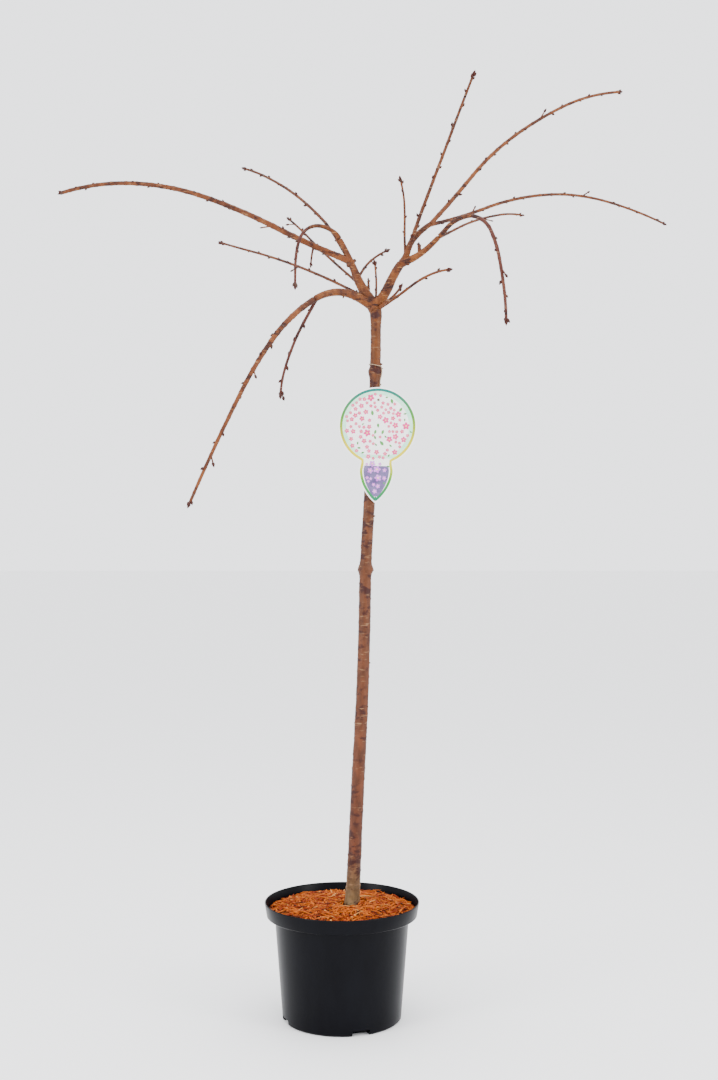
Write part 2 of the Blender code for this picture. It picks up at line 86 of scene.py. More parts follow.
# Trunk, and its swellings: height of the middle above the foot, extra radius and spread
GAP = 0.0003
MULCH_LEVEL = 0.165
FOOT_X = 0.015
FOOT_LEVEL = MULCH_LEVEL + GAP
FLARE = 0.0016
FLARE_HEIGHT = 0.016
SWELLINGS = ((0.492, 0.003, 0.006), (0.782, 0.0026, 0.0065), (0.868, 0.0014, 0.012))

# Fineness of the bark meshes: sides and length of a step
TRUNK_MESH = (44, 0.0022)
BOUGH_MESH = (26, 0.0016)
TWIG_MESH = (12, 0.0017)

# Twigs under this radius are made thicker, by up to the extra, because they look it in the photograph
THIN_UNDER = 0.003
THIN_EXTRA = 0.0008

# Collar at a limb's root and swelling at each bud, in radii of the limb, and how blunt its end is
COLLAR = 0.3
COLLAR_REACH = 3.2
NODE_SWELLING = 0.13
NODE_SPREAD = 0.0019
END_BLUNTNESS = 0.02

# Relief of the bark: fineness round and along the limb, and height in radii of the limb
LUMP_FINENESS = (1.2, 55)
LUMP_HEIGHT = 0.05
GRAIN_FINENESS = (5, 260)
GRAIN_HEIGHT = 0.022
PORE_FINENESS = (1.6, 620)
PORE_HEIGHT = 0.16
PORE_LEVEL = 0.22
PORE_SHIFT = 7

# Buds along a twig, from its root to a bare stretch before its tip
BUD_SEED = 100
BUD_PITCH = 0.018
BUD_PITCH_SPREAD = (0.75, 1.3)
BUD_FIRST = 0.016
BUD_FIRST_SPREAD = 0.008
BUD_LAST = 0.006
BUD_TURN = radians(144)
BUD_TURN_SPREAD = 0.4
BUD_LEAN = (28, 44)
BUD_LENGTH = (0.0042, 0.0066)
BUD_SLENDERNESS = 0.27
BUD_SUNK = 0.75
BUD_ROOT = 0.8
BUD_ROOT_LENGTH = 0.2

# Shape of one bud, and how its scales turn round it
BUD_PROFILE = (0.3, 0.72, 0.96, 1.0, 0.84, 0.55, 0.24)
BUD_FIRST_RING = 0.25
BUD_SIDES = 8
SCALE_ROWS = 2
SCALE_RIDGE = 0.09
SCALE_TURN = 9
SCALE_START = 6
GREY_BUD_SHARE = 0.25
GREY_BUD_SEED = 1000

# Clear space that a bud needs, tested at its tip and at a share of its length
BUD_SPACE = 0.001
BUD_TEST_SHARE = 0.6
TOUCH_MARGIN = 0.0016
TOUCH_STEP = 3

# Buds in the cluster at a twig's tip
TIP_BUD_GROWTH = 1.15
TIP_BUD_SUNK = 0.001
TIP_BUDS = 3
TIP_BUD_SIZE = (0.7, 0.9)
TIP_BUD_ROOT = 0.8
TIP_TURN_SPREAD = 0.3
TIP_LEAN = (26, 40)
TIP_SETBACK = 0.0025
TIP_SPACING = 0.0012

# Spurs: each has a bud at its end and a smaller one on either side
SPUR_EVERY = 0.17
SPUR_FIRST_SPREAD = (0.3, 1.0)
SPUR_SPREAD = (0.7, 1.3)
SPUR_LENGTH = (0.007, 0.013)
SPUR_RADIUS = 0.0011
SPUR_OF_TWIG = 0.7
SPUR_SIDES = 10
SPUR_BUD_SUNK = 0.0008
SIDE_BUD_SUNK = 0.0016
SIDE_BUD_SIZE = 0.7
SIDE_BUD_LEAN = 0.6

# Stubs and spurs: width along them, and roughness, with its fineness round, along and by height
STALK_PROFILE = ((0, 1.25), (0.35, 1.05), (0.7, 0.98), (0.9, 0.9), (0.98, 0.6), (1, 0.2))
STALK_ROUGHNESS = 0.1
STALK_FINENESS = (2, 5, 300)
STUB_SIDES = 14

# Pot
RIM_RADIUS = 0.1133
RIM_HEIGHT = 0.171
RIM_OUTER_EDGE = 0.0012
RIM_INNER_EDGE = 0.0008
BAND_HEIGHT = 0.021
BAND_RADIUS = 0.1102
BAND_EDGE = 0.001
SHOULDER_RADIUS = 0.0985
SHOULDER_HEIGHT = RIM_HEIGHT - BAND_HEIGHT
BASE_RADIUS = 0.0868
BASE_EDGE = 0.0025
BASE_LOOP = 0.012
WALL = 0.0017
FLOOR_TOP = 0.0105
CHANNEL_RISE = 0.0085
CHANNEL_INNER = 0.03
CHANNEL_OUTER = 0.07
CHANNEL_SLOPE = 0.002
NOTCH_COUNT = 4
NOTCH_FIRST_ANGLE = radians(-71)
NOTCH_WIDTH = 0.026
NOTCH_HEIGHT = 0.008
NOTCH_DEPTH = 0.03
NOTCH_BELOW = 0.002
POT_SIDES = 160
POT_BEVEL = 0.0005
POT_BEVEL_SEGMENTS = 2
POT_BEVEL_ANGLE = radians(35)
POT_SHARP_ANGLE = radians(50)

# Mulch, and the torn strips on it, whose length is a least length and what chance adds
MULCH_EDGE_LEVEL = 0.1575
MULCH_FLAT_RADIUS = 0.045
MULCH_SLOPE_RADIUS = 0.085
MULCH_SLOPE_RISE = 0.004
MULCH_REACH = 0.1065
TRUNK_CLEARANCE = 0.0125
SLIVER_COUNT = 3400
SLIVER_SEED = 11
SLIVER_LENGTH = (0.006, 0.026)
SLIVER_WIDTH = (0.0009, 0.0028)
SLIVER_THICKNESS = (0.0006, 0.0014)
SLIVER_TILT = 13
SLIVER_LIFT = (0.0002, 0.0022)
SLIVER_BEND = (-0.15, 0.35)
SLIVER_PROFILE = ((-0.5, 0.25), (-0.22, 0.9), (0.16, 1.0), (0.5, 0.3))
# The rust-red strips are partly the bark's own darker red and partly painted shade: their share stands in
# for the dark red shadows between the strips
SLIVER_SHARES = {"orange": 0.6, "rust_and_shade": 0.3, "dark": 0.1, "tan": 0.04}

# Label: a disc that runs into a tongue below. Its own x and z start at the disc's centre
LABEL_DISC_RADIUS = 0.057
LABEL_X = 0.0522
LABEL_Z = 0.8662
LABEL_TILT = radians(1.8)
LABEL_THICKNESS = 0.0009
LABEL_BACK_Y = -0.0098
NECK_HALF_WIDTH = 0.0236
NECK_DROP = sqrt(LABEL_DISC_RADIUS ** 2 - NECK_HALF_WIDTH ** 2)
TONGUE_HALF_WIDTH = 0.0258
TONGUE_WIDEST = 0.2
TONGUE_ROUNDING = 0.9
TONGUE_REACH = 0.1125
LABEL_HOLE_RISE = 0.0385
LABEL_HOLE_RADIUS = 0.0019
HOLE_SIDES = 24
HOLE_CUT = 0.01
LABEL_ARC_STEPS = 90
TONGUE_STEPS = 26

# Printing on the label, from its edge inwards
WHITE_BORDER = 0.0018
RING_WIDTH = 0.0038
RING_INNER = WHITE_BORDER + RING_WIDTH
TIP_MITRE = 1.75
TINT_GAP = 0.0002
TINT_WIDTH = 0.0055
FIELD_GAP = 0.0006
FIELD_START = 0.1
FIELD_LENGTH = 0.74
FIELD_SLANT = 1.15

# Thickness of a coat of ink, and how many coats each print stands up
INK = 0.00006
TINT_COATS = 0.5
FIELD_COATS = 0.8
LEAF_COATS = 1.6
PETAL_COATS = 2.0
NEXT_PETAL_COATS = 0.3
HEART_COATS = 4

# Blossoms and leaves strewn on the label, with the parts of one in shares of its size
MOTIF_SEED = 5
MOTIF_TRIES = 6000
MOTIF_REACH = 0.047
MOTIF_LOWEST = -0.1
MOTIF_SIZE = (0.0024, 0.006)
MOTIF_TURN = 6
MOTIF_MARGIN = RING_INNER + 0.001
MOTIF_TONGUE = (0.05, 0.85)
MOTIF_TONGUE_ROOM = 0.08
MOTIF_HOLE_ROOM = 0.004
MOTIF_SPACING = 0.97
LEAF_SHARE = 0.22
LEAF_GROWTH = 1.5
LEAF_WIDTHS = ((0.25, 0.22), (0.55, 0.26), (0.85, 0.12))
PETALS = 5
PETAL_POINTS = 10
PETAL_MIDDLE = 0.52
PETAL_HALF_LENGTH = 0.44
PETAL_HALF_WIDTH = 0.33
HEART_POINTS = 8
HEART_RADIUS = 0.2

# How strongly each kind of surface mirrors the room
BARK_GLOSS = 0.18
POT_GLOSS = 0.07
MULCH_GLOSS = 0.08
INK_GLOSS = 0.2

BARK_ROUGHNESS = 0.5
INK_ROUGHNESS = 0.32
BLACK = (0, 0, 0)
WHITE = (1, 1, 1)

# Noise in the materials, and the levels of it where the tones stand
NOISE_DETAIL = 5
NOISE_ROUGHNESS = 0.6
BARK_LEVELS = (0.3, 0.5, 0.7)
TRUNK_LEVELS = (0.35, 0.68)
SPECKLE_LEVELS = (0.32, 0.68)

# The colour mix node's sockets: its share, its two colours and its result
MIX_INPUTS = (0, 6, 7)
MIX_RESULT = 2

# Young bark: its dark patches, its middle and light tones, and its pores
BARK_TONES = {
    "bough": ((0.022, 0.004, 0.002), (0.098, 0.026, 0.0045), (0.18, 0.056, 0.01), (0.21, 0.09, 0.03)),
    "orange_twig": ((0.026, 0.005, 0.002), (0.098, 0.025, 0.005), (0.16, 0.048, 0.011), (0.2, 0.09, 0.035)),
    "purple_twig": ((0.018, 0.004, 0.003), (0.062, 0.014, 0.008), (0.1, 0.03, 0.014), (0.16, 0.08, 0.045)),
    "brown_twig": ((0.022, 0.005, 0.003), (0.08, 0.021, 0.006), (0.13, 0.04, 0.012), (0.19, 0.1, 0.05)),
}

# The stem's tone by height above the floor, then what patches, pores and shade turn it to
TRUNK_TONES = (
    (0.17, (0.17, 0.105, 0.045)),
    (0.24, (0.1, 0.026, 0.009)),
    (0.6, (0.11, 0.033, 0.011)),
    (0.93, (0.115, 0.034, 0.01)),
    (0.97, (0.12, 0.034, 0.006)),
)
TRUNK_PATCH = (0.028, 0.005, 0.003)
TRUNK_PORE = (0.17, 0.085, 0.04)
TRUNK_SHADE = (0.35, 0.35, 0.35)
TRUNK_SHADE_SHARE = 0.8

# Bark patterns. Mottle: repeats per metre. Patches and pores: repeats, detail, and the noise levels where
# they start and are full. Relief: repeats, strength and depth
BARK_MOTTLE = (55, 55, 38)
BARK_PATCHES = ((40, 40, 95), 4, 0.55, 0.62)
BARK_PORES = ((90, 90, 520), 3, 0.6, 0.68)
BARK_RELIEF = ((420, 420, 900), 0.35, 0.0004)
TRUNK_MOTTLE = (90, 90, 45)
TRUNK_PATCHES = ((45, 45, 75), 4, 0.52, 0.6)
TRUNK_PORES = ((60, 60, 430), 3, 0.61, 0.69)
TRUNK_RELIEF = ((380, 380, 700), 0.4, 0.0005)

# Speckled surfaces: roughness, gloss, the colours' repeats per metre, and the relief as above
SURFACES = {
    "dark_bud_scales": (0.45, BARK_GLOSS, 500, 900, 0.3, 0.0003),
    "grey_bud_scales": (0.55, BARK_GLOSS, 500, 900, 0.3, 0.0003),
    "stub_bark": (0.6, BARK_GLOSS, 260, 600, 0.5, 0.0005),
    "pot_plastic": (0.32, POT_GLOSS, (30, 30, 12), (700, 700, 500), 0.12, 0.0002),
    "bark_strip": (0.85, MULCH_GLOSS, 160, 900, 0.6, 0.0004),
    "mulch_bed": (0.95, MULCH_GLOSS, 140, 420, 0.9, 0.0015),
    "tie_string": (0.75, MULCH_GLOSS, 700, 1500, 0.5, 0.0003),
    "ink": (INK_ROUGHNESS, INK_GLOSS, 90, 300, 0.03, 0.0001),
}

# The two close colours of each speckled material
TONES = {
    "dark_bud_scales": ((0.02, 0.004, 0.003), (0.055, 0.011, 0.005)),
    "grey_bud_scales": ((0.03, 0.013, 0.009), (0.075, 0.038, 0.026)),
    "stub_bark": ((0.028, 0.007, 0.004), (0.1, 0.036, 0.014)),
    "pot_plastic": ((0.0008, 0.0008, 0.0018), (0.0018, 0.002, 0.0034)),
    "orange_bark_strip": ((0.26, 0.047, 0.003), (0.4, 0.095, 0.006)),
    # Rust-red strips: a darker red that is partly painted shade for the shadows between the strips
    "rust_and_shade_bark_strip": ((0.13, 0.013, 0.002), (0.21, 0.03, 0.004)),
    "dark_bark_strip": ((0.03, 0.006, 0.002), (0.07, 0.013, 0.004)),
    "tan_bark_strip": ((0.38, 0.15, 0.03), (0.48, 0.22, 0.07)),
    "mulch_bed": ((0.03, 0.006, 0.002), (0.12, 0.022, 0.003)),
    "tie_string": ((0.2, 0.13, 0.08), (0.34, 0.25, 0.16)),
    "label_white": ((0.8, 0.81, 0.79), (0.86, 0.86, 0.84)),
    "mint_ink": ((0.3, 0.72, 0.52), (0.56, 0.82, 0.6)),
    "mauve_ink": ((0.075, 0.05, 0.14), (0.17, 0.13, 0.26)),
    "pink_ink": ((0.52, 0.01, 0.13), (0.72, 0.06, 0.26)),
    "violet_ink": ((0.42, 0.1, 0.5), (0.6, 0.24, 0.68)),
    "heart_ink": ((0.8, 0.55, 0.12), (0.88, 0.68, 0.25)),
    "leaf_ink": ((0.04, 0.2, 0.04), (0.1, 0.3, 0.07)),
}

# The rim's colours up the label, from the tongue's tip to the top of the disc
RIM_TONES = (
    (0.02, (0.002, 0.15, 0.07)),
    (0.2, (0.04, 0.24, 0.02)),
    (0.36, (0.6, 0.5, 0.004)),
    (0.5, (0.5, 0.42, 0.006)),
    (0.74, (0.06, 0.22, 0.02)),
    (0.97, (0.002, 0.13, 0.11)),
)


# The sizes of one limb.
Limb = namedtuple("Limb", "name parent share length headings climbs radii buds bud_size",
                  defaults=(True, 1.0))

LIMBS = (
    Limb("trunk", None, 0, 0.883, (0,), (87, 87.6, 86.8, 87.9, 89.2, 86.4, 87.2, 88, 91),
         (0.0102, 0.0074), buds=False),

    # Boughs on the left
    Limb("left_bough", "trunk", 0.991, 0.118, (176, 168), (52, 60, 68, 66, 62),
         (0.0084, 0.0034), buds=False),
    Limb("left_bow", "left_bough", 1, 0.056, (168, 215), (62, 34, 18, -10, -34),
         (0.0034, 0.0026), buds=False),
    Limb("left_arch", "trunk", 0.992, 0.108, (200, 215), (30, 24, 5, -18, -32),
         (0.0066, 0.0045), buds=False),

    # Boughs on the right
    Limb("right_bough", "trunk", 0.997, 0.075, (0, -10), (40, 60, 66, 60, 52), (0.007, 0.006), buds=False),
    Limb("right_upper", "right_bough", 1, 0.072, (-10, 25), (52, 76, 52, 42, 34),
         (0.005, 0.0036), buds=False),
    Limb("right_lower", "right_bough", 0.95, 0.07, (-18, -30), (20, 20, 32, 38, 40),
         (0.005, 0.0036), buds=False),
    Limb("right_bow", "right_lower", 1, 0.062, (-30, -40), (40, 43, 22, 8, -10),
         (0.0036, 0.0029), buds=False),

    # Twigs on the left
    Limb("left_bow_whip", "left_bow", 1, 0.092, (215, 245), (-34, -66, -80, -88, -90),
         (0.0024, 0.0014), bud_size=1.2),
    Limb("left_long", "left_bough", 0.68, 0.47, (176, 168), (22, 28, 21, 5, -14),
         (0.0046, 0.0027), bud_size=0.9),
    Limb("left_top", "left_bough", 0.66, 0.246, (160, 150), (56, 60, 47, 41, 34, 28, 20), (0.0024, 0.0013)),
    Limb("left_back", "left_bough", 0.34, 0.19, (140, 138), (38, 38, 40, 42, 36), (0.0017, 0.0011)),
    Limb("left_low", "left_bough", 0.14, 0.292, (160, 140), (30, 26, 22, 18, 19), (0.002, 0.0012)),
    Limb("left_arch_whip", "left_arch", 1, 0.369, (215, 228), (-32, -51, -59, -60, -61),
         (0.0044, 0.0017), bud_size=1.15),
    Limb("left_hanging", "left_arch", 0.94, 0.15, (170, 130), (-62, -58, -64, -67, -84),
         (0.0022, 0.0014), bud_size=1.2),
    Limb("left_pendant", "left_long", 0.125, 0.028, (150,), (-70, -80, -85), (0.0012, 0.0008), bud_size=0.8),

    # Short growth in the fork
    Limb("middle_spray", "left_bough", 0.44, 0.072, (50, 20), (52, 52, 42, 34, 26), (0.0018, 0.0011)),
    Limb("middle_upright", "trunk", 1, 0.06, (40, 150), (86, 84, 80), (0.0014, 0.0009)),
    Limb("snag", "left_bough", 0.14, 0.031, (100,), (75, 78), (0.002, 0.0012), bud_size=0.7),

    # Twigs on the right
    Limb("right_thin", "right_upper", 0.1, 0.12, (140, 80, 100, 165), (88, 82, 80, 78, 76),
         (0.0016, 0.001)),
    Limb("right_tall", "right_upper", 0.24, 0.262, (-45, -55), (64, 60, 58, 57, 54),
         (0.0029, 0.0014), bud_size=1.1),
    Limb("right_long", "right_upper", 1, 0.409, (25, 20), (46, 50, 37, 28, 9), (0.0033, 0.0016)),
    Limb("right_reach", "right_upper", 0.96, 0.493, (40, 25), (17, 23, 11, -6, -17),
         (0.0026, 0.0013), bud_size=0.9),
    Limb("right_bow_whip", "right_bow", 1, 0.177, (-40, -60), (-14, -63, -76, -80, -88),
         (0.0029, 0.0018), bud_size=1.25),
    Limb("right_low_thin", "right_lower", 0.95, 0.152, (30, 20), (27, 29, 20, 13, -4),
         (0.0016, 0.001), bud_size=0.8),
    Limb("right_stub", "right_lower", 0.45, 0.015, (120,), (80, 80), (0.0026, 0.0022), bud_size=0.7),
    Limb("side_short", "trunk", 0.989, 0.064, (-55, -50), (22, 14, 21, 27, 46), (0.0018, 0.0012)),
    Limb("side_long", "trunk", 0.988, 0.132, (-35, -30), (22, 26, 30, 18, 0),
         (0.002, 0.0012), bud_size=1.1),
)

# Which twigs are orange-brown and which are purple; the others are red-brown
ORANGE_TWIGS = ("left_long", "right_long", "right_reach", "left_arch_whip", "right_thin", "side_long")
PURPLE_TWIGS = ("left_bow_whip", "left_hanging", "right_bow_whip")

# Pruning stubs and spurs: limb, share of its length, heading, climb, radius and length
STUBS = (
    ("trunk", 0.895, 0, 20, 0.0016, 0.011),
    ("trunk", 0.887, -30, 10, 0.0013, 0.0105),
    ("trunk", 0.86, -15, 25, 0.0015, 0.011),
    ("trunk", 0.64, -10, 30, 0.0014, 0.012),
    ("trunk", 0.398, -20, 20, 0.0012, 0.0118),
    ("trunk", 0.557, 190, 25, 0.003, 0.01),
    ("trunk", 1.0, 200, 70, 0.004, 0.005),
    ("left_bough", 0.66, 10, 30, 0.0028, 0.0085),
    ("left_bough", 0.64, 200, -10, 0.0044, 0.0078),
    ("left_arch", 0.5, 230, -70, 0.0013, 0.009),
    ("right_lower", 0.15, -60, -70, 0.0026, 0.0072),
    ("right_upper", 0.82, -40, -30, 0.0017, 0.0052),
)


def between(values, share):
    """The value at a share of the way along values that are spaced evenly."""
    return float(np.interp(share, np.linspace(0, 1, len(values)), values))


def direction(heading, climb):
    """The unit vector with this heading in plan and this climb, both in degrees."""
    turn = radians(heading)
    rise = radians(climb)
    return Vector((cos(turn) * cos(rise), sin(turn) * cos(rise), sin(rise)))


def crossways(ahead):
    """Two directions square to a line and to each other."""
    side = ahead.orthogonal().normalized()
    return side, ahead.cross(side)


def swung(ahead, aside, turn):
    """The first direction, turned towards the second."""
    return ahead * cos(turn) + aside * sin(turn)


def turns(count):
    """Even turns round a circle."""
    return [tau * k / count for k in range(count)]


def new_object(name, data):
    """An object in the scene with this mesh, light or camera."""
    obj = bpy.data.objects.new(name, data)
    bpy.context.scene.collection.objects.link(obj)
    return obj


class Path:
    """A limb's centre line, as a fine chain of points, with its radius along it."""

    FINE = 120

    def __init__(self, limb, start):
        self.limb = limb
        self.points = [start]
        for i in range(self.FINE):
            share = (i + 0.5) / self.FINE
            step = direction(between(limb.headings, share), between(limb.climbs, share))
            self.points.append(self.points[-1] + step * (limb.length / self.FINE))

    def at(self, share):
        place = share * self.FINE
        i = min(int(place), self.FINE - 1)
        return self.points[i].lerp(self.points[i + 1], place - i)

    def tangent(self, share):
        i = min(int(share * self.FINE), self.FINE - 1)
        return (self.points[i + 1] - self.points[i]).normalized()

    def radius(self, share):
        radius = between(self.limb.radii, share)
        if self.limb.name == "trunk":
            height = share * self.limb.length
            radius += FLARE * exp(-height / FLARE_HEIGHT)
            for middle, extra, spread in SWELLINGS:
                radius += extra * exp(-((height - middle) / spread) ** 2)
        return radius


def grow():
    """The path of every limb, each started on its parent."""
    paths = {}
    for limb in LIMBS:
        if limb.parent is None:
            start = Vector((FOOT_X, 0, FOOT_LEVEL))
        elif limb.share == 1:
            start = paths[limb.parent].at(1) + paths[limb.parent].tangent(1) * GAP
        else:
            start = paths[limb.parent].at(limb.share)
        paths[limb.name] = Path(limb, start)
    return paths


def dress(obj):
    """Ties a piece to the one body."""
    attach(obj, "root")
    return obj


class Shape:
    """Points and faces gathered into one mesh."""

    def __init__(self):
        self.points = []
        self.faces = []

    def ring(self, points):
        first = len(self.points)
        self.points.extend(points)
        return list(range(first, len(self.points)))

    def bridge(self, low, high):
        count = len(low)
        for k in range(count):
            after = (k + 1) % count
            self.faces.append((low[k], low[after], high[after], high[k]))

    def cap(self, ring, flipped=False):
        self.faces.append(tuple(ring[::-1] if flipped else ring))

    def loft(self, rings):
        """A skin over rings of points, closed at its start, and the numbers of its last ring."""
        before = None
        for points in rings:
            ring = self.ring(points)
            if before is None:
                self.cap(ring, flipped=True)
            else:
                self.bridge(before, ring)
            before = ring
        return before

    def make(self, name, material, slot, smooth=True):
        """The piece made of what was gathered, with its material and body; the slot is not used."""
        mesh = bpy.data.meshes.new(name)
        mesh.from_pydata([tuple(point) for point in self.points], [], self.faces)
        mesh.validate()
        obj = new_object(name, mesh)
        mesh.materials.append(material)
        if smooth:
            mesh.shade_smooth()
        return dress(obj)


def bark_noise(outward, along, fineness, shift=0):
    """Smooth noise on a limb's skin, with its fineness round the limb and along it."""
    around, lengthwise = fineness
    return noise.noise(Vector((outward.x * around + shift, outward.y * around,
                               outward.z * around + along * lengthwise)))


def bark_relief(outward, along, thick):
    """How far the bark stands out: low lumps, fine grain, and raised breathing pores across the limb."""
    lumps = bark_noise(outward, along, LUMP_FINENESS)
    grain = bark_noise(outward, along, GRAIN_FINENESS)
    pores = bark_noise(outward, along, PORE_FINENESS, PORE_SHIFT)
    return thick * (LUMP_HEIGHT * lumps + GRAIN_HEIGHT * grain + PORE_HEIGHT * max(0, pores - PORE_LEVEL))


def skin_radius(path, share, nodes):
    """The bark's mean radius, with a collar at the root and swollen bud nodes."""
    limb = path.limb
    along = share * limb.length
    thick = path.radius(share)
    if limb.buds:
        thick += THIN_EXTRA * max(0, 1 - thick / THIN_UNDER)
    if limb.parent is not None and limb.share != 1:
        thick *= 1 + COLLAR * exp(-along / (COLLAR_REACH * thick))
    for node in nodes:
        thick += NODE_SWELLING * path.radius(share) * exp(-((along - node) / NODE_SPREAD) ** 2)
    return thick


def limb_skin(shape, path, mesh, nodes=()):
    """A closed skin over one limb, with the bark's relief and a rounded end."""
    limb = path.limb
    sides, step = mesh
    count = round(limb.length / step)
    side = path.tangent(0).orthogonal()
    rings = []
    for i in range(count + 1):
        share = i / count
        along = share * limb.length
        ahead = path.tangent(share)
        side = (side - ahead * side.dot(ahead)).normalized()
        other = ahead.cross(side)
        centre = path.at(share)
        thick = skin_radius(path, share, nodes)
        left = (1 - share) * limb.length
        rounding = sqrt(max(END_BLUNTNESS, 1 - (1 - min(1, left / thick)) ** 2))
        ring = []
        for turn in turns(sides):
            outward = swung(side, other, turn)
            reach = (thick + bark_relief(outward, along, thick)) * rounding
            ring.append(centre + outward * reach)
        rings.append(ring)
    shape.cap(shape.loft(rings))


def bud(shape, root, along, length, width, start):
    """A pointed bud whose overlapping scales show as low ridges."""
    side, other = crossways(along)
    rings = []
    for i, share in enumerate(BUD_PROFILE):
        height = (i + BUD_FIRST_RING) / len(BUD_PROFILE)
        ring = []
        for turn in turns(BUD_SIDES):
            ridge = 1 + SCALE_RIDGE * cos(SCALE_ROWS * turn + SCALE_TURN * height + start)
            outward = swung(side, other, turn)
            ring.append(root + along * (length * height) + outward * (width * share * ridge))
        rings.append(ring)
    last = shape.loft(rings)
    tip = shape.ring([root + along * length])[0]
    for k in range(BUD_SIDES):
        shape.faces.append((last[k], last[(k + 1) % BUD_SIDES], tip))


def stalk(shape, start, end, radius, sides):
    """A short tapered stub with a rounded end."""
    ahead = (end - start).normalized()
    side, other = crossways(ahead)
    length = (end - start).length
    around, lengthwise, by_height = STALK_FINENESS
    rings = []
    for share, width in STALK_PROFILE:
        ring = []
        for turn in turns(sides):
            place = Vector((turn * around, share * lengthwise, start.z * by_height))
            rough = 1 + STALK_ROUGHNESS * noise.noise(place)
            outward = swung(side, other, turn)
            ring.append(start + ahead * (length * share) + outward * (radius * width * rough))
        rings.append(ring)
    shape.cap(shape.loft(rings))


def crowded(paths, name, point):
    """Whether a small ball round this point would touch a limb other than its own."""
    for other, line in paths.items():
        if other == name:
            continue
        for k in range(0, Path.FINE + 1, TOUCH_STEP):
            if (point - line.points[k]).length < BUD_SPACE + line.radius(k / Path.FINE) + TOUCH_MARGIN:
                return True
    return False


def bud_places(limb, chance):
    """Where a limb's buds sit: share of its length, turn round it, lean, length, and whether on a spur."""
    places = []
    turn = chance.uniform(0, tau)
    distance = BUD_FIRST + chance.uniform(0, BUD_FIRST_SPREAD)
    to_spur = SPUR_EVERY * chance.uniform(*SPUR_FIRST_SPREAD)
    while distance < limb.length - BUD_LAST:
        length = chance.uniform(*BUD_LENGTH) * limb.bud_size
        lean = radians(chance.uniform(*BUD_LEAN))
        on_spur = distance > to_spur
        if on_spur:
            to_spur += SPUR_EVERY * chance.uniform(*SPUR_SPREAD)
        places.append((distance / limb.length, turn, lean, length, on_spur))
        turn += BUD_TURN + chance.uniform(-BUD_TURN_SPREAD, BUD_TURN_SPREAD)
        distance += BUD_PITCH * chance.uniform(*BUD_PITCH_SPREAD)
    return places


def add_bud(buds, root, along, length):
    """A bud on a twig, dark or grey by that twig's own chance."""
    dark, grey, chance = buds
    shape = grey if chance.random() < GREY_BUD_SHARE else dark
    bud(shape, root, along, length, length * BUD_SLENDERNESS, chance.uniform(0, SCALE_START))


def grow_spur(twigs, buds, root, along, reach, radius, length):
    """A spur from the twig's middle, with a bud at its end and one on either side."""
    end = root + along * reach
    stalk(twigs, root, end, min(SPUR_RADIUS, radius * SPUR_OF_TWIG), SPUR_SIDES)
    add_bud(buds, end - along * SPUR_BUD_SUNK, along, length)
    across, _ = crossways(along)
    for way in (-1, 1):
        aside = (along + across * SIDE_BUD_LEAN * way).normalized()
        add_bud(buds, end - along * SIDE_BUD_SUNK, aside, length * SIDE_BUD_SIZE)


def grow_tip(path, chance, buds):
    """The cluster at a twig's tip: one bud straight ahead and smaller ones round it."""
    ahead = path.tangent(1)
    side, other = crossways(ahead)
    around = chance.uniform(0, tau)
    length = BUD_LENGTH[1] * path.limb.bud_size * TIP_BUD_GROWTH
    add_bud(buds, path.at(1) - ahead * TIP_BUD_SUNK, ahead, length)
    for k in range(TIP_BUDS):
        turn = around + k * tau / TIP_BUDS + chance.uniform(-TIP_TURN_SPREAD, TIP_TURN_SPREAD)
        lean = radians(chance.uniform(*TIP_LEAN))
        along = swung(ahead, swung(side, other, turn), lean).normalized()
        root = path.at(1) - ahead * (TIP_SETBACK + TIP_SPACING * k)
        add_bud(buds, root, along, length * chance.uniform(*TIP_BUD_SIZE) + path.radius(1) * TIP_BUD_ROOT)


def grow_buds(paths, limb, seed, twigs, dark, grey):
    """All buds and spurs of one twig, by the solids' seeded rule. Gives the distances of its nodes."""
    path = paths[limb.name]
    chance = Random(seed)
    buds = (dark, grey, Random(seed + GREY_BUD_SEED))
    nodes = []
    for share, turn, lean, length, on_spur in bud_places(limb, chance):
        ahead = path.tangent(share)
        side, other = crossways(ahead)
        along = swung(ahead, swung(side, other, turn), lean).normalized()
        root = path.at(share)
        sunk = path.radius(share) / sin(lean) * BUD_SUNK
        spur = chance.uniform(*SPUR_LENGTH) if on_spur else 0.0
        tip = root + along * (sunk + spur + length)
        if crowded(paths, limb.name, tip) or crowded(paths, limb.name, root.lerp(tip, BUD_TEST_SHARE)):
            continue
        nodes.append(share * limb.length)
        if on_spur:
            grow_spur(twigs, buds, root, along, sunk + spur, path.radius(share), length)
        else:
            add_bud(buds, root + along * sunk * BUD_ROOT, along, length + sunk * BUD_ROOT_LENGTH)
    grow_tip(path, chance, buds)
    return nodes


def new_material(name, roughness, gloss):
    """A material with one Principled shader, its node tree and that shader."""
    material = bpy.data.materials.new(name)
    material.use_nodes = True
    shader = material.node_tree.nodes["Principled BSDF"]
    shader.inputs["Roughness"].default_value = roughness
    shader.inputs["Specular IOR Level"].default_value = gloss
    return material, material.node_tree, shader


def noise_value(tree, stretch, detail=NOISE_DETAIL):
    """Noise fixed to the piece, with its repeats per metre: one number, or one for each axis."""
    place = tree.nodes.new("ShaderNodeTexCoord")
    mapping = tree.nodes.new("ShaderNodeMapping")
    mapping.inputs["Scale"].default_value = stretch if isinstance(stretch, tuple) else (stretch,) * 3
    texture = tree.nodes.new("ShaderNodeTexNoise")
    texture.inputs["Scale"].default_value = 1.0
    texture.inputs["Detail"].default_value = detail
    texture.inputs["Roughness"].default_value = NOISE_ROUGHNESS
    tree.links.new(place.outputs["Object"], mapping.inputs["Vector"])
    tree.links.new(mapping.outputs["Vector"], texture.inputs["Vector"])
    return texture.outputs["Fac"]


